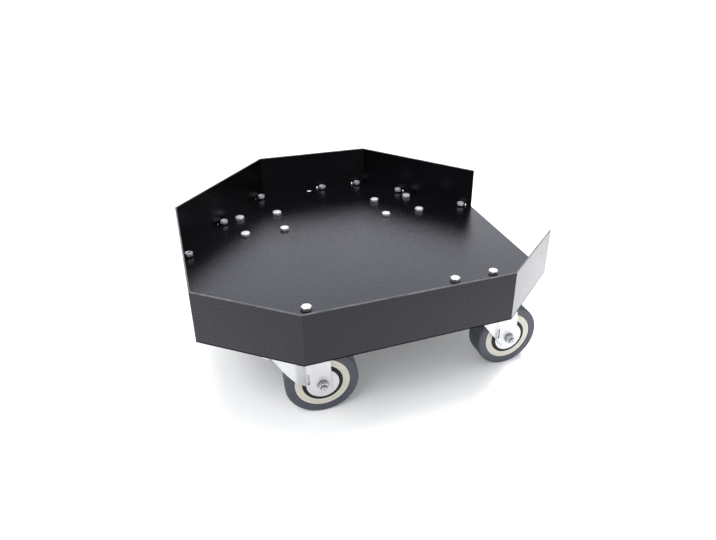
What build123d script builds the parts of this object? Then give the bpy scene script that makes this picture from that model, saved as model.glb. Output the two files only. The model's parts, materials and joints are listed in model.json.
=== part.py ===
import os
from math import atan2, cos, hypot, radians, sin, sqrt, tan

from build123d import *

# Tray plan: an octagon whose long wall faces -Y and whose open side faces +X
tray_width = 382.0
tray_depth = 385.0
front_wall_width = 212.0
back_wall_width = 148.0
front_cut_depth = 69.0
back_cut_depth = 129.0

# Sheet metal of the tray
tray_height = 55.0
wall_sheet = 1.5
deck_sheet = 1.5
bend_radius = 0.6

# Tabs of the left and back walls and the screws through them, placed from the ends of each wall
tab_width = 10.0
tab_screw_gap = 5.2
tab_screw_diameter = 5.0
tab_screw_flats = 8.0
tab_head_height = 3.5
tab_nut_height = 4.0
tab_nut_recess = 1.5
relief_width = 1.5
relief_extra = 0.4
side_end_place = 22.0
back_end_place = 14.0
back_wall_end_place = 12.0
back_wall_mid_place = 64.5
back_right_far_place = 62.0
back_left_far_place = 74.0
spare_hole_diameter = 6.6

# Weld beads along the inner foot of the three front walls, placed from the ends of each wall
bead_leg = 3.0
bead_bulge = 0.4
bead_length = 24.0
front_end_place = 20.0
front_wall_place = 34.0

# Screws of the casters and axles
screw_diameter = 6.0
screw_flats = 10.0
head_height = 4.0
nut_height = 6.0
axle_nut_height = 5.0
flange_diameter = 13.0
flange_height = 1.6
screw_stub = 3.0
hole_play = 0.3
thread_play = 0.05

# Caster plate and swivel race
plate_size = 62.0
plate_sheet = 2.5
plate_corner = 6.0
plate_hole_pitch = 48.0
front_plate_setback = 30.0
back_plate_setback = 63.7
front_plate_gap = 1.2
back_plate_gap = 5.1
bead_depth = 3.0
bead_width = 8.0
race_radius = 14.5
race_depth = 1.0
race_lip = 1.2
ball_diameter = 5.0
ball_play = 0.25
ball_count = 12
pin_diameter = 9.0
pin_head_diameter = 15.0
pin_play = 0.5
washer_diameter = 22.0
washer_thickness = 2.0
washer_play = 0.3
rivet_diameter = 14.0
rivet_height = 2.0

# Fork
fork_sheet = 2.0
fork_bend = 4.0
crown_clearance = 13.0
dome_rise = 2.6
fork_trail = 29.5
hood_radius = 24.8
shoulder_angle = 40.0
shoulder_bend = 6.0
crease_before_axle = 16.0
lead_angle = 53.0
skirt_height = 7.0
foot_radius = 12.3
foot_behind_axle = 8.5
rear_bend_above_axle = 22.5
crown_rear = 26.0
rib_before_axle = 14.3
rib_above_axle = 9.3
rib_length = 13.0
rib_width = 2.0
rib_depth = 1.0

# Wheel, guards and axle
wheel_diameter = 75.0
wheel_width = 25.0
tyre_shoulder = 2.5
rim_diameter = 55.6
rim_side_step = 0.5
rim_ring_groove = 0.8
rim_ring_groove_depth = 0.4
web_thickness = 8.0
hub_diameter = 18.0
guard_diameter = 41.4
guard_sheet = 1.6
guard_lip = 4.0
guard_fit = 0.1
cover_diameter = 33.4
cover_sheet = 0.8
cover_play = 0.3
hub_end_play = 0.2
sleeve_diameter = 10.0
sleeve_fit = 0.05
sleeve_bore_play = 0.1

# Rest angles of the four swivels, 0 trailing towards +X
rest_angles = {"front_left": -5.2, "front_right": 1.0, "back_left": 0.0, "back_right": 0.0}

# Heights, built up from the floor
axle_height = wheel_diameter / 2
crown_under = wheel_diameter + crown_clearance
crown_top = crown_under + fork_sheet
race_under = crown_top + dome_rise
ball_height = race_under - race_depth + ball_diameter / 2
race_over = ball_height + ball_diameter / 2 - race_depth
plate_under = race_over + bead_depth
plate_top = plate_under + plate_sheet
deck_under = plate_top
deck_top = deck_under + deck_sheet
wall_height = tray_height - deck_sheet
tab_top = deck_top + wall_sheet

# Stack along the axle, from the middle of the wheel outwards
tyre_half = wheel_width / 2
rim_half = tyre_half - rim_side_step
cover_face = tyre_half + cover_play
leg_inner = cover_face + cover_sheet
leg_outer = leg_inner + fork_sheet
hub_half = cover_face - hub_end_play

screw_radius = screw_diameter / 2
hole_radius = screw_radius + hole_play
nut_bore = screw_radius + thread_play
tab_hole_radius = tab_screw_diameter / 2 + hole_play
dome_radius = race_radius + ball_diameter / 2 + race_lip
dome_ceiling = race_under - fork_sheet
washer_top = dome_ceiling - washer_play
washer_bottom = washer_top - washer_thickness
rivet_bottom = washer_bottom - rivet_height
wheel_radius = wheel_diameter / 2
rim_radius = rim_diameter / 2
hub_radius = hub_diameter / 2
guard_radius = guard_diameter / 2
sleeve_radius = sleeve_diameter / 2

half_width = tray_width / 2
half_depth = tray_depth / 2
corners = [
    (-half_width, -half_depth + front_cut_depth),
    (-front_wall_width / 2, -half_depth),
    (front_wall_width / 2, -half_depth),
    (half_width, -half_depth + front_cut_depth),
    (half_width, half_depth - back_cut_depth),
    (back_wall_width / 2, half_depth),
    (-back_wall_width / 2, half_depth),
    (-half_width, half_depth - back_cut_depth),
]
side_names = [
    "wall_front_left",
    "wall_front",
    "wall_front_right",
    "open_side",
    "wall_back_right",
    "wall_back",
    "wall_back_left",
    "wall_left",
]
side_count = len(corners)
open_side = side_names.index("open_side")


def side_direction(side):
    """Unit direction of a tray side and its length."""
    x0, y0 = corners[side]
    x1, y1 = corners[(side + 1) % side_count]
    length = hypot(x1 - x0, y1 - y0)
    return (x1 - x0) / length, (y1 - y0) / length, length


def side_plane(side, height):
    """Plane on a tray side: X along its outer line, Y into the tray."""
    ux, uy, _ = side_direction(side)
    x0, y0 = corners[side]
    return Plane(origin=(x0, y0, height), x_dir=(ux, uy, 0), z_dir=(0, 0, 1))


def side_point(side, along, inset):
    """Point in the tray plan at a distance along a side and in from it."""
    ux, uy, _ = side_direction(side)
    x0, y0 = corners[side]
    return x0 + along * ux - inset * uy, y0 + along * uy + inset * ux


def mitre_run(corner):
    """How far the mitre at a corner runs along the wall through the sheet."""
    if open_side in (corner, (corner - 1) % side_count):
        return 0.0
    ax, ay, _ = side_direction(corner - 1)
    bx, by, _ = side_direction(corner)
    turn = atan2(ax * by - ay * bx, ax * bx + ay * by)
    return wall_sheet * tan(turn / 2)


side_lengths = [side_direction(side)[2] for side in range(side_count)]
screw_places = {
    "wall_back_right": (back_end_place, side_lengths[4] - back_right_far_place),
    "wall_back": (back_wall_end_place, back_wall_mid_place),
    "wall_back_left": (back_end_place, side_lengths[6] - back_left_far_place),
    "wall_left": (side_end_place, side_lengths[7] - side_end_place),
}
bead_places = {
    "wall_front_left": (front_end_place, side_lengths[0] - front_end_place),
    "wall_front": (front_wall_place, side_lengths[1] / 2, side_lengths[1] - front_wall_place),
    "wall_front_right": (front_end_place, side_lengths[2] - front_end_place),
}
screw_inset = wall_sheet + tab_screw_gap
wall_screw_points = []
for wall_name, places in screw_places.items():
    for place in places:
        wall_screw_points.append(side_point(side_names.index(wall_name), place, screw_inset))
spare_hole_point = side_point(side_names.index("wall_back"), side_lengths[5] - back_wall_mid_place, screw_inset)


def caster_place(side, corner, plate_y, gap):
    """Caster axis in the plan, its plate corner a set gap from the inner face of a cut wall."""
    ux, uy, _ = side_direction(side)
    x0, y0 = corners[corner]
    plate_x = x0 + ((plate_y - y0) * ux - wall_sheet - gap) / uy
    return plate_x - plate_size / 2


front_plate_y = -half_depth + front_plate_setback
back_plate_y = half_depth - back_plate_setback
front_x = caster_place(2, 2, front_plate_y, front_plate_gap)
back_x = caster_place(4, 4, back_plate_y, back_plate_gap)
front_y = front_plate_y + plate_size / 2
back_y = back_plate_y - plate_size / 2
caster_points = {
    "front_left": (-front_x, front_y),
    "front_right": (front_x, front_y),
    "back_left": (-back_x, back_y),
    "back_right": (back_x, back_y),
}
half_pitch = plate_hole_pitch / 2
plate_hole_points = [(sx * half_pitch, sy * half_pitch) for sx in (-1, 1) for sy in (-1, 1)]
caster_screw_points = [
    (x + dx, y + dy) for x, y in caster_points.values() for dx, dy in plate_hole_points
]

axle_plane = Plane(origin=(fork_trail, 0, axle_height), x_dir=(0, 1, 0), z_dir=(1, 0, 0))
axle_axis = Axis((fork_trail, 0, axle_height), (0, 1, 0))


def upright_sheet(side):
    """Plain upright panel of a side with mitred ends, standing on the deck."""
    length = side_lengths[side]
    start_run = mitre_run(side)
    end_run = mitre_run((side + 1) % side_count)
    with BuildPart() as sheet:
        with BuildSketch(side_plane(side, deck_top)):
            with BuildLine():
                Polyline(
                    (0, 0),
                    (length, 0),
                    (length - end_run, wall_sheet),
                    (start_run, wall_sheet),
                    close=True,
                )
            make_face()
        extrude(amount=wall_height)
    return sheet.part


def tabbed_panel(side):
    """Wall with tabs bent in along the deck."""
    frame = side_plane(side, deck_top)
    places = screw_places[side_names[side]]
    tab_edge = tab_width / 2 + relief_width / 2
    relief_height = wall_sheet + bend_radius + relief_extra
    with BuildPart() as panel:
        add(upright_sheet(side))
        with BuildSketch(frame):
            with Locations(*[(place + way * tab_edge, wall_sheet / 2) for place in places for way in (-1, 1)]):
                Rectangle(relief_width, wall_sheet)
        extrude(amount=relief_height, mode=Mode.SUBTRACT)
        with BuildSketch(frame):
            for place in places:
                left = place - tab_width / 2
                right = place + tab_width / 2
                with BuildLine():
                    Polyline((left, screw_inset), (left, 0), (right, 0), (right, screw_inset))
                    ThreePointArc((right, screw_inset), (place, screw_inset + tab_width / 2), (left, screw_inset))
                make_face()
        extrude(amount=wall_sheet)
        with BuildSketch(frame):
            with Locations(*[(place, screw_inset) for place in places]):
                Circle(tab_hole_radius)
        extrude(amount=wall_sheet, mode=Mode.SUBTRACT)
        fillet(edges_near(panel, frame, places, wall_sheet, wall_sheet), radius=bend_radius)
        fillet(edges_near(panel, frame, places, 0, 0), radius=bend_radius + wall_sheet)
    return panel.part


def welded_panel(side):
    """Wall with short weld beads along its inner foot."""
    ux, uy, _ = side_direction(side)
    swell = bead_leg / 2 + bead_bulge
    with BuildPart() as panel:
        add(upright_sheet(side))
        for place in bead_places[side_names[side]]:
            x, y = side_point(side, place - bead_length / 2, wall_sheet)
            with BuildSketch(Plane(origin=(x, y, deck_top), x_dir=(-uy, ux, 0), z_dir=(ux, uy, 0))):
                with BuildLine():
                    Polyline((0, bead_leg), (0, 0), (bead_leg, 0))
                    ThreePointArc((bead_leg, 0), (swell, swell), (0, bead_leg))
                make_face()
            extrude(amount=bead_length)
    return panel.part


def edges_near(builder, frame, places, inset, height):
    """Straight edges along a wall whose middles stand at the given places."""
    found = []
    for place in places:
        target = frame.from_local_coords(Vector(place, inset, height))
        found.append(builder.edges().sort_by_distance(target)[0])
    return found


def hex_screw(diameter, flats, head, length):
    """Hexagon-head screw, the head standing on z = 0 and the shank hanging below."""
    with BuildPart() as screw:
        with BuildSketch():
            RegularPolygon(radius=flats / 2, side_count=6, major_radius=False)
        extrude(amount=head)
        with BuildSketch():
            Circle(diameter / 2)
        extrude(amount=-length)
    return screw.part


def plain_nut():
    """Hexagon nut of the tabs standing on z = 0."""
    with BuildPart() as nut:
        with BuildSketch():
            RegularPolygon(radius=tab_screw_flats / 2, side_count=6, major_radius=False)
            Circle(tab_screw_diameter / 2 + thread_play, mode=Mode.SUBTRACT)
        extrude(amount=tab_nut_height)
    return nut.part


def flange_nut():
    """Hexagon nut with a flange, the flange standing on z = 0."""
    with BuildPart() as nut:
        with BuildSketch():
            Circle(flange_diameter / 2)
        extrude(amount=flange_height)
        with BuildSketch(Plane.XY.offset(flange_height)):
            RegularPolygon(radius=screw_flats / 2, side_count=6, major_radius=False)
        extrude(amount=nut_height - flange_height)
        with BuildSketch():
            Circle(nut_bore)
        extrude(amount=nut_height, mode=Mode.SUBTRACT)
    return nut.part


os.makedirs("parts", exist_ok=True)

# Deck plate, flush with the outer faces of the walls that stand on it
with BuildPart() as deck:
    with BuildSketch(Plane.XY.offset(deck_under)):
        with BuildLine():
            Polyline(*corners, close=True)
        make_face()
        with Locations(*caster_screw_points):
            Circle(hole_radius, mode=Mode.SUBTRACT)
        with Locations(*wall_screw_points):
            Circle(tab_hole_radius, mode=Mode.SUBTRACT)
        with Locations(spare_hole_point):
            Circle(spare_hole_diameter / 2, mode=Mode.SUBTRACT)
    extrude(amount=deck_sheet)
deck.part.label = "deck"
export_step(deck.part, "parts/deck.step")

for side_index, side_name in enumerate(side_names):
    if side_index == open_side:
        continue
    with BuildPart() as wall:
        add(welded_panel(side_index) if side_name in bead_places else tabbed_panel(side_index))
    wall.part.label = side_name
    export_step(wall.part, f"parts/{side_name}.step")

# Screws of the tabs come up from below, their nuts stand on the tabs
wall_screw_length = deck_sheet + wall_sheet + tab_nut_height - tab_nut_recess
with BuildPart() as wall_screws:
    with Locations(*[Location((x, y, deck_under), (180, 0, 0)) for x, y in wall_screw_points]):
        add(hex_screw(tab_screw_diameter, tab_screw_flats, tab_head_height, wall_screw_length))
wall_screws.part.label = "wall_screws"
export_step(wall_screws.part, "parts/wall_screws.step")

with BuildPart() as wall_nuts:
    with Locations(*[(x, y, tab_top) for x, y in wall_screw_points]):
        add(plain_nut())
wall_nuts.part.label = "wall_nuts"
export_step(wall_nuts.part, "parts/wall_nuts.step")

# Screws of the caster plates go down through the deck, their nuts hang below the plates
caster_screw_length = deck_sheet + plate_sheet + nut_height + screw_stub
with BuildPart() as caster_screws:
    with Locations(*[(x, y, deck_top) for x, y in caster_screw_points]):
        add(hex_screw(screw_diameter, screw_flats, head_height, caster_screw_length))
caster_screws.part.label = "caster_screws"
export_step(caster_screws.part, "parts/caster_screws.step")

with BuildPart() as caster_nuts:
    with Locations(*[Location((x, y, plate_under), (180, 0, 0)) for x, y in caster_screw_points]):
        add(flange_nut())
caster_nuts.part.label = "caster_nuts"
export_step(caster_nuts.part, "parts/caster_nuts.step")

# Caster pieces, each drawn with the swivel axis on Z and the wheel trailing towards +X
pin_radius = pin_diameter / 2
pin_hole = pin_radius + thread_play
groove_radius = ball_diameter / 2 + ball_play
with BuildPart() as top_plate:
    with BuildSketch(Plane.XY.offset(plate_under)):
        RectangleRounded(plate_size, plate_size, plate_corner)
        with Locations(*plate_hole_points):
            Circle(hole_radius, mode=Mode.SUBTRACT)
    extrude(amount=plate_sheet)
    with BuildSketch(Plane.XZ):
        with Locations((race_radius, plate_under - bead_depth / 2)):
            Rectangle(bead_width, bead_depth)
    revolve(axis=Axis.Z)
    fillet(top_plate.edges().group_by(Axis.Z)[0], radius=bend_radius)
    with BuildSketch(Plane.XZ):
        with Locations((race_radius, plate_top - bead_depth / 2)):
            Rectangle(bead_width - 2 * plate_sheet, bead_depth)
    revolve(axis=Axis.Z, mode=Mode.SUBTRACT)
    with BuildSketch(Plane.XZ):
        with Locations((race_radius, ball_height)):
            Circle(groove_radius)
    revolve(axis=Axis.Z, mode=Mode.SUBTRACT)
    with BuildSketch(Plane.XZ):
        with BuildLine():
            Polyline(
                (0, plate_under),
                (pin_hole, plate_under),
                (pin_head_diameter / 2 + thread_play, plate_top),
                (0, plate_top),
                close=True,
            )
        make_face()
    revolve(axis=Axis.Z, mode=Mode.SUBTRACT)

with BuildPart() as bearing_balls:
    with Locations(Plane.XY.offset(ball_height)):
        with PolarLocations(race_radius, ball_count):
            Sphere(ball_diameter / 2)

with BuildPart() as king_pin:
    with BuildSketch(Plane.XZ):
        with BuildLine():
            Polyline(
                (0, rivet_bottom),
                (rivet_diameter / 2 - bend_radius, rivet_bottom),
                (rivet_diameter / 2, rivet_bottom + bend_radius),
                (rivet_diameter / 2, washer_bottom),
                (pin_radius, washer_bottom),
                (pin_radius, plate_under),
                (pin_head_diameter / 2, plate_top),
                (0, plate_top),
                close=True,
            )
        make_face()
    revolve(axis=Axis.Z)

with BuildPart() as pin_washer:
    with BuildSketch(Plane.XY.offset(washer_bottom)):
        Circle(washer_diameter / 2)
        Circle(pin_hole, mode=Mode.SUBTRACT)
    extrude(amount=washer_thickness)

# Fork: a round drawn hood that joggles in to two legs beside the wheel
fork_rear = fork_trail + foot_behind_axle
foot_bottom = axle_height - foot_radius
foot_rear_height = axle_height - sqrt(foot_radius**2 - foot_behind_axle**2)
skirt_bottom = crown_top - skirt_height
lead_run = radians(lead_angle)
lead_end = (fork_trail - foot_radius * sin(lead_run), axle_height - foot_radius * cos(lead_run))
lead_start = (lead_end[0] - (skirt_bottom - lead_end[1]) / tan(lead_run), skirt_bottom)
dome_inner = dome_radius - fork_sheet

# The shoulder runs from the crease on each leg out to the round of the hood
crease_x = fork_trail - crease_before_axle
shoulder_run = radians(shoulder_angle)
shoulder_along = crease_x * cos(shoulder_run) - leg_outer * sin(shoulder_run)
shoulder_length = shoulder_along + sqrt(shoulder_along**2 + hood_radius**2 - crease_x**2 - leg_outer**2)
shoulder_x = crease_x - shoulder_length * cos(shoulder_run)
shoulder_y = leg_outer + shoulder_length * sin(shoulder_run)


def hood_plan(rear, inset):
    """Plan of the hood, moved in by the sheet for its hollow."""
    with BuildSketch(Plane.XY.offset(foot_bottom)) as plan:
        with BuildLine():
            ThreePointArc((shoulder_x, shoulder_y), (-hood_radius, 0), (shoulder_x, -shoulder_y))
            Polyline(
                (shoulder_x, -shoulder_y),
                (crease_x, -leg_outer),
                (rear, -leg_outer),
                (rear, leg_outer),
                (crease_x, leg_outer),
                (shoulder_x, shoulder_y),
            )
        make_face()
        fillet(plan.vertices().group_by(Axis.X)[0], radius=shoulder_bend)
        fillet(plan.vertices().filter_by_position(Axis.X, crease_x, crease_x), radius=bend_radius)
        if inset:
            offset(amount=-inset, mode=Mode.REPLACE)
    return plan.sketch


def hood_edges(builder, height):
    """Edges of the hood at one height, the straight rear edge left out."""
    at_height = builder.edges().filter_by_position(Axis.Z, height, height)
    return at_height.filter_by(lambda edge: edge.center().X < fork_rear - fork_bend)


with BuildPart() as fork:
    extrude(hood_plan(fork_rear, 0), amount=crown_top - foot_bottom)
    fillet(hood_edges(fork, crown_top), radius=fork_bend)
    extrude(
        hood_plan(fork_rear + 2 * fork_sheet, fork_sheet),
        amount=crown_under - foot_bottom,
        mode=Mode.SUBTRACT,
    )
    fillet(hood_edges(fork, crown_under), radius=fork_bend - fork_sheet)
    with BuildSketch(Plane.XZ):
        with BuildLine():
            Line(lead_start, lead_end)
            ThreePointArc(lead_end, (fork_trail, foot_bottom), (fork_rear, foot_rear_height))
            Line((fork_rear, foot_rear_height), (fork_rear, axle_height + rear_bend_above_axle))
            TangentArc((fork_rear, axle_height + rear_bend_above_axle), (crown_rear, crown_top), tangent=(0, 1))
            Polyline((crown_rear, crown_top), (-hood_radius, crown_top), (-hood_radius, skirt_bottom), lead_start)
        make_face()
    extrude(amount=hood_radius, both=True, mode=Mode.INTERSECT)
    with BuildSketch(Plane.XY.offset(crown_under)):
        Circle(dome_radius)
    extrude(amount=race_under - crown_under)
    fillet(fork.edges().group_by(Axis.Z)[-1], radius=race_lip / 2)
    with BuildSketch(Plane.XY.offset(crown_under)):
        Circle(dome_inner)
    extrude(amount=dome_ceiling - crown_under, mode=Mode.SUBTRACT)
    with BuildSketch(Plane.XY.offset(crown_under)):
        Circle(pin_radius + pin_play)
    extrude(amount=race_under - crown_under, mode=Mode.SUBTRACT)
    with BuildSketch(Plane.XZ):
        with Locations((race_radius, ball_height)):
            Circle(groove_radius)
    revolve(axis=Axis.Z, mode=Mode.SUBTRACT)
    with BuildSketch(Plane.XZ):
        with Locations((fork_trail, axle_height)):
            Circle(hole_radius)
    extrude(amount=leg_outer, both=True, mode=Mode.SUBTRACT)
    for leg_face in (-leg_outer, leg_outer - rib_depth):
        with BuildSketch(Plane.XZ.offset(-leg_face - rib_depth)):
            with Locations((fork_trail - rib_before_axle, axle_height + rib_above_axle)):
                SlotOverall(rib_length, rib_width, rotation=90)
        extrude(amount=rib_depth, mode=Mode.SUBTRACT)

# Axle set, clamped between the legs
axle_end = -leg_outer - axle_nut_height - screw_stub
with BuildPart() as axle_bolt:
    with BuildSketch(Plane.XZ.offset(-leg_outer)):
        with Locations((fork_trail, axle_height)):
            RegularPolygon(radius=screw_flats / 2, side_count=6, major_radius=False)
    extrude(amount=-head_height)
    with BuildSketch(Plane.XZ.offset(-leg_outer)):
        with Locations((fork_trail, axle_height)):
            Circle(screw_radius)
    extrude(amount=leg_outer - axle_end)

with BuildPart() as axle_nut:
    with BuildSketch(Plane.XZ.offset(leg_outer)):
        with Locations((fork_trail, axle_height)):
            RegularPolygon(radius=screw_flats / 2, side_count=6, major_radius=False)
            Circle(nut_bore, mode=Mode.SUBTRACT)
    extrude(amount=axle_nut_height)

with BuildPart() as axle_sleeve:
    with BuildSketch(Plane.XZ):
        with Locations((fork_trail, axle_height)):
            Circle(sleeve_radius)
            Circle(screw_radius + sleeve_bore_play, mode=Mode.SUBTRACT)
    extrude(amount=cover_face, both=True)

with BuildPart() as dust_covers:
    for cover_start in (cover_face, -leg_inner):
        with BuildSketch(Plane.XZ.offset(-cover_start)):
            with Locations((fork_trail, axle_height)):
                Circle(cover_diameter / 2)
                Circle(screw_radius + sleeve_bore_play, mode=Mode.SUBTRACT)
        extrude(amount=-cover_sheet)

# Wheel, turned about the axle
ring_inner = guard_radius + guard_fit
ring_groove = (ring_inner + rim_radius) / 2
with BuildPart() as rim:
    with BuildSketch(axle_plane):
        with BuildLine():
            Polyline(
                (-hub_half, sleeve_radius + sleeve_fit),
                (hub_half, sleeve_radius + sleeve_fit),
                (hub_half, hub_radius),
                (web_thickness / 2, hub_radius),
                (web_thickness / 2, ring_inner),
                (rim_half, ring_inner),
                (rim_half, rim_radius),
                (-rim_half, rim_radius),
                (-rim_half, ring_inner),
                (-web_thickness / 2, ring_inner),
                (-web_thickness / 2, hub_radius),
                (-hub_half, hub_radius),
                close=True,
            )
        make_face()
        with Locations(*[(way * rim_half, ring_groove) for way in (-1, 1)]):
            Rectangle(2 * rim_ring_groove_depth, rim_ring_groove, mode=Mode.SUBTRACT)
    revolve(axis=axle_axis)

with BuildPart() as thread_guards:
    for way in (-1, 1):
        with BuildSketch(axle_plane):
            with BuildLine():
                Polyline(
                    (way * tyre_half, hub_radius + thread_play),
                    (way * tyre_half, guard_radius),
                    (way * (tyre_half - guard_lip), guard_radius),
                    (way * (tyre_half - guard_lip), guard_radius - guard_sheet),
                    (way * (tyre_half - guard_sheet), guard_radius - guard_sheet),
                    (way * (tyre_half - guard_sheet), hub_radius + thread_play),
                    close=True,
                )
            make_face()
        revolve(axis=axle_axis)

with BuildPart() as tyre:
    with BuildSketch(axle_plane) as tyre_profile:
        with Locations((0, (rim_radius + wheel_radius) / 2)):
            Rectangle(wheel_width, wheel_radius - rim_radius)
        fillet(tyre_profile.vertices().group_by(Axis.Z)[-1], radius=tyre_shoulder)
    revolve(axis=axle_axis)

plate_pieces = {
    "top_plate": top_plate,
    "bearing_balls": bearing_balls,
    "king_pin": king_pin,
    "pin_washer": pin_washer,
}
turning_pieces = {
    "fork": fork,
    "axle_bolt": axle_bolt,
    "axle_nut": axle_nut,
    "axle_sleeve": axle_sleeve,
    "dust_covers": dust_covers,
    "rim": rim,
    "thread_guards": thread_guards,
    "tyre": tyre,
}
for caster_name, (caster_x, caster_y) in caster_points.items():
    for piece_name, piece in {**plate_pieces, **turning_pieces}.items():
        angle = rest_angles[caster_name] if piece_name in turning_pieces else 0.0
        with BuildPart() as placed:
            with Locations(Location((caster_x, caster_y, 0), (0, 0, angle))):
                add(piece.part)
        placed.part.label = f"{caster_name}_{piece_name}"
        export_step(placed.part, f"parts/{caster_name}_{piece_name}.step")
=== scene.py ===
import json
import math
import random
from collections import namedtuple

import bmesh
import bpy
from mathutils import Matrix, Vector


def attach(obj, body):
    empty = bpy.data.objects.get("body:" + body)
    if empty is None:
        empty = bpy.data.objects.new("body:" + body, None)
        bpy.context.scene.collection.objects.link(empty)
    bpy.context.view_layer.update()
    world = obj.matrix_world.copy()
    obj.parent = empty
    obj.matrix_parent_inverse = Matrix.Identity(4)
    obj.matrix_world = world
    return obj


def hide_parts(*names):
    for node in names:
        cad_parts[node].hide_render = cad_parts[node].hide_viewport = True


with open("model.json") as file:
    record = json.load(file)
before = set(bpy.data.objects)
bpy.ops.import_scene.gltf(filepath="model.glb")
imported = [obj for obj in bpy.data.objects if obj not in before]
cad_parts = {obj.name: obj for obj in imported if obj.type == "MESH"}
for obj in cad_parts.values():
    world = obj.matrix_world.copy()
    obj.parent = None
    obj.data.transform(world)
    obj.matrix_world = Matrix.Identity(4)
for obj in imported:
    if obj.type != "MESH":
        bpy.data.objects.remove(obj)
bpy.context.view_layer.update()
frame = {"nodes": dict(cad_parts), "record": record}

nodes = frame["nodes"]
record = frame["record"]
scene = bpy.context.scene

MM = 0.001
CASTERS = ("front_left", "front_right", "back_left", "back_right")
DECK_UNDER = 101.1 * MM
DECK_TOP = 102.6 * MM
WALL_TOP = 156.1 * MM
ORIGIN = (0, 0, 0)
WHITE = (1.0, 1.0, 1.0)
chance = random.Random(32)


# Materials

def shade(colour, factor):
    """Colour times a factor, no channel above 1."""
    return tuple(min(1.0, factor * channel) for channel in colour)


class Shader:
    """A material and its node tree, with short calls for the usual nodes."""

    def __init__(self, name):
        self.material = bpy.data.materials.new(name)
        self.material.use_nodes = True
        self.tree = self.material.node_tree
        self.bsdf = self.tree.nodes["Principled BSDF"]
        self.place = self.add("ShaderNodeTexCoord").outputs["Object"]

    def add(self, kind, **values):
        node = self.tree.nodes.new(kind)
        for key, value in values.items():
            setattr(node, key, value)
        return node

    def link(self, source, target):
        self.tree.links.new(source, target)

    def feed(self, value, socket):
        """Link an output to a socket, or set the socket to a plain value."""
        if hasattr(value, "links"):
            self.link(value, socket)
        else:
            socket.default_value = value

    def noise(self, scale, detail, stretch=None):
        node = self.add("ShaderNodeTexNoise")
        node.inputs["Scale"].default_value = scale
        node.inputs["Detail"].default_value = detail
        node.inputs["Roughness"].default_value = 0.55
        source = self.place
        if stretch:
            mapping = self.add("ShaderNodeMapping")
            mapping.inputs["Scale"].default_value = stretch
            self.link(source, mapping.inputs["Vector"])
            source = mapping.outputs["Vector"]
        self.link(source, node.inputs["Vector"])
        return node.outputs["Fac"]

    def ramp(self, source, stops):
        """Colour between two (position, colour) stops."""
        node = self.add("ShaderNodeValToRGB")
        for element, (position, colour) in zip(node.color_ramp.elements, stops):
            element.position = position
            element.color = (*colour, 1.0)
        self.link(source, node.inputs["Fac"])
        return node.outputs["Color"]

    def span(self, source, low, high, start=0.3, end=0.7):
        """Value from low to high as the source goes from start to end."""
        node = self.add("ShaderNodeMapRange")
        node.inputs["From Min"].default_value = start
        node.inputs["From Max"].default_value = end
        node.inputs["To Min"].default_value = low
        node.inputs["To Max"].default_value = high
        self.link(source, node.inputs["Value"])
        return node.outputs["Result"]

    def math(self, operation, first, second):
        node = self.add("ShaderNodeMath", operation=operation)
        for socket, value in zip(node.inputs, (first, second)):
            self.feed(value, socket)
        return node.outputs["Value"]

    def facing_up(self):
        """1 on faces that look up, and 0 on upright ones."""
        split = self.add("ShaderNodeSeparateXYZ")
        self.link(self.add("ShaderNodeNewGeometry").outputs["Normal"], split.inputs["Vector"])
        return self.span(split.outputs["Z"], 0.0, 1.0, 0.5, 0.9)

    def height(self, start, end):
        """0 below a height in the part at rest, and 1 above another."""
        split = self.add("ShaderNodeSeparateXYZ")
        self.link(self.place, split.inputs["Vector"])
        return self.span(split.outputs["Z"], 0.0, 1.0, start, end)

    def blend(self, amount, first, second):
        """First colour where the amount is 0, second where it is 1."""
        node = self.add("ShaderNodeMix", data_type="RGBA")
        self.link(amount, node.inputs["Factor"])
        for socket, value in ((node.inputs[6], first), (node.inputs[7], second)):
            self.feed((*value, 1.0) if isinstance(value, tuple) else value, socket)
        return node.outputs[2]

    def worn(self, width, low=0.62, high=0.95):
        """1 along edges within a width, broken up by noise, and 0 elsewhere."""
        rounded = self.add("ShaderNodeBevel", samples=4)
        rounded.inputs["Radius"].default_value = width
        across = self.add("ShaderNodeVectorMath", operation="DOT_PRODUCT")
        self.link(rounded.outputs["Normal"], across.inputs[0])
        self.link(self.add("ShaderNodeNewGeometry").outputs["Normal"], across.inputs[1])
        edge = self.span(across.outputs["Value"], 1.0, 0.0, low, high)
        patches = self.span(self.noise(180.0, 4.0), 0.0, 1.0, 0.35, 0.6)
        return self.math("MULTIPLY", edge, patches)

    def hollow_shade(self, reach):
        """Mask for painted shade: 1 in narrow grooves and corners within a reach, and 0 on open
        faces.
        """
        node = self.add("ShaderNodeAmbientOcclusion", samples=6)
        node.inputs["Distance"].default_value = reach
        return self.span(node.outputs["AO"], 1.0, 0.0, 0.35, 0.8)

    def rounded(self, width):
        """Normal that rounds the sharp edges of the solids by a width."""
        node = self.add("ShaderNodeBevel", samples=6)
        node.inputs["Radius"].default_value = width
        return node.outputs["Normal"]

    def bump(self, heights, normal=None):
        """Bump from a list of (source, strength, distance)."""
        for source, strength, distance in heights:
            node = self.add("ShaderNodeBump")
            node.inputs["Strength"].default_value = strength
            node.inputs["Distance"].default_value = distance
            self.link(source, node.inputs["Height"])
            if normal:
                self.link(normal, node.inputs["Normal"])
            normal = node.outputs["Normal"]
        self.link(normal, self.bsdf.inputs["Normal"])

    def set(self, **values):
        for key, value in values.items():
            self.feed(value, self.bsdf.inputs[key.replace("_", " ")])


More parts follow.
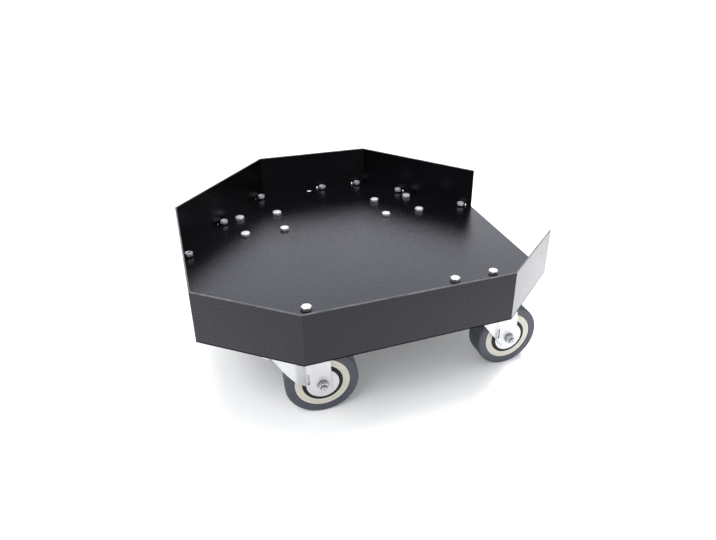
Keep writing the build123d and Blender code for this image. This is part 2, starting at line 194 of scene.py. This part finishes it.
def black_coat():
    """Satin powder coat: dust with a painted cool sheen on top, worn edges and rim that also carry
    painted highlight lines, a dull sheared edge of the deck, and a painted blue cast on its
    reflection.
    """
    deep_black, pale_black = (0.0010, 0.0010, 0.0012), (0.0018, 0.0018, 0.0020)
    dust_and_sheen_colour = (0.0022, 0.0022, 0.0040)
    speck_colour = (0.04, 0.04, 0.042)
    edge_wear_and_highlight_colour = (0.05, 0.05, 0.052)
    rim_wear_and_highlight_colour = (0.15, 0.15, 0.155)
    gloss, sheared_gloss = 0.5, 0.08
    s = Shader("black_coat")
    mottle = s.noise(14.0, 4.0)
    peel = s.noise(650.0, 2.0)
    swell = s.noise(420.0, 1.0)
    coat = s.ramp(mottle, [(0.3, deep_black), (0.7, pale_black)])
    # Faces that look up get a lighter, bluer colour: partly dust, partly a painted cool sheen of
    # the sky light above.
    dust_and_sheen = s.math("MULTIPLY", s.facing_up(), s.span(s.noise(90.0, 4.0), 0.3, 1.0))
    with_dust_and_sheen = s.blend(dust_and_sheen, coat, dust_and_sheen_colour)
    dots = s.span(s.noise(330.0, 0.0), 0.0, 1.0, 0.79, 0.85)
    specked = s.blend(s.math("MULTIPLY", s.facing_up(), dots), with_dust_and_sheen, speck_colour)
    above = s.height(DECK_TOP - 0.2 * MM, DECK_TOP + 0.1 * MM)
    # Lighter edges above the deck: partly wear, partly painted highlight lines along the edges and
    # the wall-deck seams.
    wear_and_highlight = s.math("MULTIPLY", above, s.worn(1.0 * MM, 0.65, 0.97))
    edged = s.blend(wear_and_highlight, specked, edge_wear_and_highlight_colour)
    # Pale band along the wall tops: partly rubbed paint, partly a painted highlight line on the
    # rim.
    rim_breakup = s.span(s.noise(70.0, 3.0), 0.45, 1.0, 0.35, 0.65)
    rim_wear_and_highlight = s.math("MULTIPLY", s.height(WALL_TOP - 1.1 * MM, WALL_TOP - 0.5 * MM), rim_breakup)
    standing = s.math("SUBTRACT", 1.0, s.facing_up())
    sheared = s.math("MULTIPLY", standing, s.math("SUBTRACT", 1.0, above))
    dulled = s.math("MULTIPLY", sheared, gloss - sheared_gloss)
    s.set(
        Base_Color=s.blend(rim_wear_and_highlight, edged, rim_wear_and_highlight_colour),
        Roughness=s.math("ADD", s.span(mottle, 0.16, 0.21), s.math("MULTIPLY", sheared, 0.45)),
        Specular_IOR_Level=s.math("SUBTRACT", gloss, dulled),
        IOR=1.45,
        # Blue tint on the reflection: a painted cool cast standing in for the cool light the coat
        # reflects.
        Specular_Tint=(0.86, 0.86, 1.0, 1.0),
    )
    s.bump([(peel, 1.0, 0.16 * MM), (swell, 1.0, 0.30 * MM)], s.rounded(0.3 * MM))
    return s.material


def zinc(name, tint, low, high, turned=0.0):
    """Zinc plate, painted dark in grooves and corners as painted shade; turned screws are rougher
    on faces that look up and painted darker below the deck, a painted shade under the tray.
    """
    s = Shader(name)
    cloud = s.noise(60.0, 4.0)
    grain = s.noise(700.0, 3.0, stretch=(1.0, 1.0, 0.35))
    plate = s.ramp(cloud, [(0.3, shade(tint, 0.9)), (0.65, tint)])
    edged = s.blend(s.worn(0.4 * MM), plate, shade(tint, 0.72))
    rough = s.span(cloud, low, high)
    reach = 2.5 * MM
    normal = None
    if turned:
        rough = s.math("ADD", rough, s.math("MULTIPLY", s.facing_up(), turned))
        # Painted shade: turned pieces below the deck are painted darker, standing in for the
        # shadow under the tray.
        above = s.height(DECK_UNDER - 3.1 * MM, DECK_UNDER - 0.1 * MM)
        edged = s.blend(above, shade(tint, 0.65), edged)
        reach = 1.8 * MM
        normal = s.rounded(0.6 * MM)
    s.set(
        # Painted shade: grooves and corners are painted dark.
        Base_Color=s.blend(s.hollow_shade(reach), edged, shade(tint, 0.10)),
        Roughness=rough,
        Metallic=1.0,
    )
    s.bump([(grain, 0.12, 0.2 * MM)], normal)
    return s.material


def rubber():
    dark_grey, light_grey = (0.048, 0.053, 0.069), (0.068, 0.074, 0.094)
    edge_grey = (0.075, 0.078, 0.090)
    s = Shader("grey_rubber")
    cloud = s.noise(45.0, 5.0)
    grain = s.noise(1500.0, 2.0)
    grey = s.ramp(cloud, [(0.3, dark_grey), (0.7, light_grey)])
    s.set(
        Base_Color=s.blend(s.worn(1.2 * MM, 0.7, 0.97), grey, edge_grey),
        Roughness=s.span(cloud, 0.52, 0.68),
        IOR=1.5,
    )
    s.bump([(grain, 0.14, 0.2 * MM), (cloud, 0.05, 0.6 * MM)])
    return s.material


def plastic(name, dark, light, rough, index):
    s = Shader(name)
    cloud = s.noise(70.0, 4.0)
    grain = s.noise(1100.0, 2.0)
    body = s.ramp(cloud, [(0.3, dark), (0.7, light)])
    s.set(
        Base_Color=s.blend(s.worn(0.5 * MM), body, shade(light, 1.25)),
        Roughness=s.span(cloud, rough - 0.06, rough + 0.06),
        IOR=index,
    )
    s.bump([(grain, 0.10, 0.2 * MM)])
    return s.material


finishes = {
    "black_coat": black_coat(),
    "zinc_plate": zinc("zinc_plate", (0.67, 0.67, 0.68), 0.46, 0.58),
    "zinc_screws": zinc("zinc_screws", (0.93, 0.93, 0.94), 0.54, 0.64, turned=0.08),
    "bright_steel": zinc("bright_steel", (0.72, 0.72, 0.73), 0.12, 0.2),
    "cream_plastic": plastic(
        "cream_plastic", (0.60, 0.57, 0.49), (0.66, 0.63, 0.55), rough=0.42, index=1.48
    ),
    "black_plastic": plastic(
        "black_plastic", (0.005, 0.005, 0.004), (0.008, 0.008, 0.007), rough=0.5, index=1.32
    ),
    "grey_rubber": rubber(),
}
slot_of = {entry["node"]: entry["material_slot"] for entry in record["subparts"]}
for name, node in nodes.items():
    node.data.materials.clear()
    node.data.materials.append(finishes[slot_of[name]])


# Small hardware: chamfered hexagons and real threads in place of the plain solids

Size = namedtuple("Size", "flats radius head pitch")
M6 = Size(10.0 * MM, 3.0 * MM, 4.0 * MM, 1.0 * MM)
M5 = Size(8.0 * MM, 2.5 * MM, 3.5 * MM, 0.8 * MM)
flange_height = 1.6 * MM
flange_radius = 6.5 * MM
bore_play = 0.05 * MM
chamfer_share = 0.94
chamfer_slope = math.tan(math.radians(30.0))
thread_depth = 0.55
rows_per_pitch = 6
taper_pitches = 0.8


def solids(name):
    """Lowest and highest corners of a CAD node's solids, in order along a slanted line."""
    slant = 0.41
    bm = bmesh.new()
    bm.from_mesh(nodes[name].data)
    bm.transform(nodes[name].matrix_world)
    bmesh.ops.remove_doubles(bm, verts=bm.verts, dist=0.002 * MM)
    boxes = []
    waiting = set(bm.verts)
    while waiting:
        island = []
        edge = [waiting.pop()]
        while edge:
            vert = edge.pop()
            island.append(vert.co.copy())
            for link in vert.link_edges:
                other = link.other_vert(vert)
                if other in waiting:
                    waiting.remove(other)
                    edge.append(other)
        low, high = (
            Vector(pick(point[axis] for point in island) for axis in range(3))
            for pick in (min, max)
        )
        boxes.append((low, high))
    bm.free()
    return sorted(boxes, key=lambda box: box[0].x + slant * box[0].y)


def rings(bm, place, profile, close=True, steps=48):
    """Skin round a Z axis through (radius, height) rows, which may depend on the angle."""
    loops = []
    for radius, height in profile:
        loop = []
        for step in range(steps):
            angle = 2 * math.pi * step / steps
            r = radius(angle) if callable(radius) else radius
            z = height(angle) if callable(height) else height
            point = Vector((r * math.cos(angle), r * math.sin(angle), z))
            loop.append(bm.verts.new(place @ point))
        loops.append(loop)
    for lower, upper in zip(loops, loops[1:]):
        for step in range(steps):
            after = (step + 1) % steps
            bm.faces.new((lower[step], lower[after], upper[after], upper[step]))
    if close:
        bm.faces.new(loops[0][::-1])
        bm.faces.new(loops[-1])


def hexagon(size):
    """Radius of a screw's hexagon as it depends on the angle."""
    return lambda angle: size.flats / 2 / math.cos(angle % (math.pi / 3) - math.pi / 6)


def chamfer(size, base, way):
    """Height of the edge that a chamfer leaves round the hexagon."""
    radius = hexagon(size)
    start = chamfer_share * size.flats / 2
    return lambda angle: base - way * (radius(angle) - start) * chamfer_slope


def thread(size, start, end):
    """Rows of a screw thread between two heights, tapered at the end."""
    rows = []
    depth = thread_depth * size.pitch
    count = max(2, round(abs(end - start) / size.pitch * rows_per_pitch))
    for step in range(count + 1):
        height = start + (end - start) * step / count
        taper = max(0.0, 1.0 - abs(end - height) / (taper_pitches * size.pitch)) * depth

        def radius(angle, height=height, taper=taper):
            phase = (height / size.pitch + angle / (2 * math.pi)) % 1.0
            return size.radius - max(taper, depth * abs(2.0 * phase - 1.0))

        rows.append((radius, height))
    return rows


def hex_screw(bm, place, size, length, plain):
    """Screw with a chamfered head on z = 0, threaded past the plain length, with a dimpled end."""
    half = size.flats / 2
    washer_face = 0.92 * half
    washer_height = 0.06 * size.head
    shoulder = 0.96 * size.head
    dimple = [
        (0.04 * size.radius, 0.4 * size.radius - length),
        (0.32 * size.radius, -length),
    ]
    shank = dimple + thread(size, -plain, -length)[::-1] + [(size.radius, -plain)]
    head = [
        (size.radius, 0.0),
        (washer_face, 0.0),
        (washer_face, washer_height),
        (hexagon(size), washer_height),
        (hexagon(size), chamfer(size, shoulder, 1)),
        (chamfer_share * half, shoulder),
        (0.86 * half, 0.985 * size.head),
        (0.3 * half, size.head),
    ]
    rings(bm, place, shank + head)


def hex_nut(bm, place, size, height, flange=0.0):
    """Nut standing on z = 0, chamfered above, with a plain bore and perhaps a flange."""
    half = size.flats / 2
    bore = size.radius + bore_play
    lead = thread_depth * size.pitch
    if flange:
        foot = [
            (flange, 0.0),
            (flange, 0.35 * flange_height),
            (1.12 * half, 0.85 * flange_height),
            (hexagon(size), flange_height),
        ]
    else:
        foot = [(chamfer_share * half, 0.0), (hexagon(size), chamfer(size, 0.0, -1))]
    top = [
        (hexagon(size), chamfer(size, height, 1)),
        (chamfer_share * half, height),
        (bore + lead, height),
        (bore, height - lead),
    ]
    rings(bm, place, foot + top + [(bore, 0.0), foot[0]], close=False)


def piece(name, bm, slot, body, replaced):
    """Object from a mesh, with the finish of a slot, riding on a body in place of a CAD node."""
    bmesh.ops.recalc_face_normals(bm, faces=bm.faces)
    mesh = bpy.data.meshes.new(name)
    bm.to_mesh(mesh)
    bm.free()
    mesh.polygons.foreach_set("use_smooth", [True] * len(mesh.polygons))
    mesh.set_sharp_from_angle(angle=math.radians(32.0))
    mesh.materials.append(finishes[slot])
    obj = bpy.data.objects.new(name, mesh)
    scene.collection.objects.link(obj)
    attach(obj, body)
    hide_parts(replaced)


def upright(x, y, z, turned=False):
    """Frame at a point, its Z up or turned down, with a chance turn of the hexagon."""
    turn = Matrix.Rotation(chance.uniform(0, math.pi / 3), 4, "Z")
    place = Matrix.Translation((x, y, z)) @ turn
    return place @ Matrix.Rotation(math.pi, 4, "X") if turned else place


def fasteners(node, build):
    """One piece with a detailed solid for each solid of a CAD node."""
    bm = bmesh.new()
    for low, high in solids(node):
        build(bm, (low.x + high.x) / 2, (low.y + high.y) / 2, low.z, high.z)
    piece(node + "_turned", bm, "zinc_screws", "frame", node)


def caster_screw(bm, x, y, low, high):
    length = high - M6.head - low
    hex_screw(bm, upright(x, y, high - M6.head), M6, length, 0.4 * length)


def wall_screw(bm, x, y, low, high):
    length = high - low - M5.head
    hex_screw(bm, upright(x, y, low + M5.head, True), M5, length, 0.3 * length)


def wall_nut(bm, x, y, low, high):
    hex_nut(bm, upright(x, y, low), M5, high - low)


def caster_nut(bm, x, y, low, high):
    hex_nut(bm, upright(x, y, high, True), M6, high - low, flange_radius)


fasteners("caster_screws", caster_screw)
fasteners("wall_screws", wall_screw)
fasteners("wall_nuts", wall_nut)
fasteners("caster_nuts", caster_nut)


# Casters: axle screws, nuts and tyres on the axes of the joints

joint_of = {joint["name"]: joint for joint in record["behaviour"]["joints"]}
leg_outer = 15.6 * MM
nut_height = 5.0 * MM
axle_stub = 3.0 * MM
axle_length = 2 * leg_outer + nut_height + axle_stub
axle_plain = axle_length - nut_height - 2 * axle_stub
tyre_radius = 37.5 * MM
tyre_half = 12.5 * MM
rim_radius = 27.8 * MM
shoulder_radius = tyre_radius - 2.6 * MM
shoulder_bend = 2.5 * MM
shoulder_steps = 8


def axle_frame(caster):
    """Frame on a wheel's axle, Z along the axle away from the nut."""
    joint = joint_of[caster + "_roll"]
    along = Vector(joint["axis"]).normalized()
    across = Vector((0, 0, 1))
    turn = Matrix((across.cross(along), across, along)).transposed().to_4x4()
    return Matrix.Translation(joint["pos_m"]) @ turn


def tyre(bm, place):
    """Moulded tyre: crowned tread with a fine parting line, rounded shoulders, dished sides."""
    half = [
        (rim_radius, 0.93 * tyre_half),
        (rim_radius + 0.8 * MM, 0.965 * tyre_half),
        (rim_radius + 2.2 * MM, 0.985 * tyre_half),
        (0.5 * (rim_radius + tyre_radius), tyre_half),
        (shoulder_radius, 0.995 * tyre_half),
    ]
    for step in range(1, shoulder_steps + 1):
        angle = math.radians(90.0 * step / shoulder_steps)
        half.append((
            shoulder_radius + shoulder_bend * math.sin(angle),
            tyre_half - shoulder_bend + shoulder_bend * math.cos(angle),
        ))
    half += [
        (tyre_radius - 0.02 * MM, 0.4 * tyre_half),
        (tyre_radius - 0.01 * MM, 0.25 * MM),
        (tyre_radius, 0.1 * MM),
    ]
    profile = half + [(radius, -height) for radius, height in half[::-1]]
    rings(bm, place, profile + [profile[0]], close=False, steps=128)


for caster in CASTERS:
    swivel = caster + "_swivel"
    axle = axle_frame(caster)
    head_side = axle @ Matrix.Translation((0, 0, leg_outer))
    nut_side = axle @ Matrix.Translation((0, 0, -leg_outer)) @ Matrix.Rotation(math.pi, 4, "X")
    bm = bmesh.new()
    hex_screw(bm, head_side, M6, axle_length, axle_plain)
    piece(caster + "_axle_bolt_turned", bm, "zinc_screws", swivel, caster + "_axle_bolt")
    bm = bmesh.new()
    hex_nut(bm, nut_side, M6, nut_height)
    piece(caster + "_axle_nut_turned", bm, "zinc_screws", swivel, caster + "_axle_nut")
    bm = bmesh.new()
    tyre(bm, axle)
    piece(caster + "_tyre_moulded", bm, "grey_rubber", caster + "_wheel", caster + "_tyre")


# Floor, light and camera

def seen_directly(tree):
    """1 for the rays that show a surface itself, to the eye or in metal or glass."""
    path = tree.nodes.new("ShaderNodeLightPath")
    total = path.outputs["Is Camera Ray"]
    for name in ("Is Glossy Ray", "Is Transmission Ray"):
        both = tree.nodes.new("ShaderNodeMath")
        both.operation = "MAXIMUM"
        tree.links.new(total, both.inputs[0])
        tree.links.new(path.outputs[name], both.inputs[1])
        total = both.outputs["Value"]
    return total


def floor():
    """Pale floor that fades to white away from the dolly and looks a little lighter than it is."""
    half = 9.0
    near, far = 0.9, 2.4
    near_glow, far_glow = 0.02, 0.32
    lift_level = 0.06
    corners = [(-half, -half, 0), (half, -half, 0), (half, half, 0), (-half, half, 0)]
    mesh = bpy.data.meshes.new("floor")
    mesh.from_pydata(corners, [], [(0, 1, 2, 3)])
    obj = bpy.data.objects.new("floor", mesh)
    scene.collection.objects.link(obj)
    s = Shader("floor")
    grain = s.noise(6.0, 3.0)
    away = s.add("ShaderNodeVectorMath", operation="LENGTH")
    s.link(s.place, away.inputs[0])
    fade = s.span(away.outputs["Value"], near_glow, far_glow, near, far)
    glow = s.math("MULTIPLY", seen_directly(s.tree), fade)
    to_eye = s.add("ShaderNodeLightPath").outputs["Is Camera Ray"]
    lift = s.math("MULTIPLY", to_eye, lift_level)
    s.set(
        Base_Color=s.ramp(grain, [(0.3, shade(WHITE, 0.90)), (0.7, shade(WHITE, 0.92))]),
        Roughness=0.7,
        Emission_Color=(*WHITE, 1.0),
        Emission_Strength=s.math("ADD", glow, lift),
    )
    mesh.materials.append(s.material)
    return obj


def studio():
    """White surroundings: as light they are a little dimmer and cooler than they look."""
    cool = (0.94, 0.97, 1.0)
    light_level, seen_level = 0.8, 1.0
    world = bpy.data.worlds.new("studio")
    scene.world = world
    world.use_nodes = True
    tree = world.node_tree
    background = tree.nodes["Background"]
    to_eye = tree.nodes.new("ShaderNodeLightPath").outputs["Is Camera Ray"]
    tint = tree.nodes.new("ShaderNodeMix")
    tint.data_type = "RGBA"
    tint.inputs[6].default_value = (*cool, 1.0)
    tint.inputs[7].default_value = (*WHITE, 1.0)
    tree.links.new(to_eye, tint.inputs["Factor"])
    tree.links.new(tint.outputs[2], background.inputs["Color"])
    level = tree.nodes.new("ShaderNodeMapRange")
    level.inputs["To Min"].default_value = light_level
    level.inputs["To Max"].default_value = seen_level
    tree.links.new(seen_directly(tree), level.inputs["Value"])
    tree.links.new(level.outputs["Result"], background.inputs["Strength"])


def softbox(name, place, aim, size, radiance, tint=WHITE, lit=None, spread=180.0):
    """Soft lamp as bright as a white of that strength, perhaps for one surface alone."""
    width, height = size
    data = bpy.data.lights.new(name, "AREA")
    data.shape = "RECTANGLE"
    data.size = width
    data.size_y = height
    data.energy = radiance * math.pi * width * height
    data.color = tint
    data.spread = math.radians(spread)
    obj = bpy.data.objects.new(name, data)
    obj.location = place
    direction = Vector(aim) - Vector(place)
    obj.rotation_euler = direction.to_track_quat("-Z", "Y").to_euler()
    scene.collection.objects.link(obj)
    if lit:
        alone = bpy.data.collections.new(name)
        alone.objects.link(lit)
        obj.light_linking.receiver_collection = alone
        obj.visible_glossy = False


ground = floor()
studio()
overhead = (0.0, 0.1, 2.2)
overhead_size = (1.3, 1.3)
softbox("softbox_top", overhead, ORIGIN, overhead_size, radiance=1.6)
softbox("softbox_front", (-0.5, -1.8, 1.3), (0, -0.1, 0), (1.6, 1.2), radiance=0.5)
softbox(
    "softbox_back", (0.9, 2.6, 1.9), (0, 0, 0.1), (3.0, 2.2), radiance=1.15, tint=(0.90, 0.93, 1.0)
)
softbox("floor_top", overhead, ORIGIN, overhead_size, radiance=4.4, lit=ground)
softbox("floor_left", (-1.1, -0.9, 1.6), ORIGIN, (1.0, 1.0), radiance=7.8, lit=ground)
softbox(
    "floor_side", (0.42, -0.04, 0.8), (0.31, -0.05, 0), (0.2, 0.2),
    radiance=7.0, lit=ground, spread=60.0,
)

photo_width = 716
photo_height = 540
lens_pixels = 612.95
centre_column = 423.62
centre_row = 233.49
camera_place = (-0.18993, -0.62323, 0.45955)
camera_heading = -24.270
camera_dip = 27.267
camera_roll = 2.5632
camera_data = bpy.data.cameras.new("camera")
camera_data.sensor_width = 36.0
camera_data.lens = lens_pixels / photo_width * camera_data.sensor_width
camera_data.shift_x = (photo_width / 2 - centre_column) / photo_width
camera_data.shift_y = (centre_row - photo_height / 2) / photo_width
camera = bpy.data.objects.new("camera", camera_data)
camera.matrix_world = (
    Matrix.Translation(camera_place)
    @ Matrix.Rotation(math.radians(camera_heading), 4, "Z")
    @ Matrix.Rotation(math.radians(90.0 - camera_dip), 4, "X")
    @ Matrix.Rotation(math.radians(camera_roll), 4, "Z")
)
scene.collection.objects.link(camera)
scene.camera = camera
scene.view_settings.view_transform = "Standard"
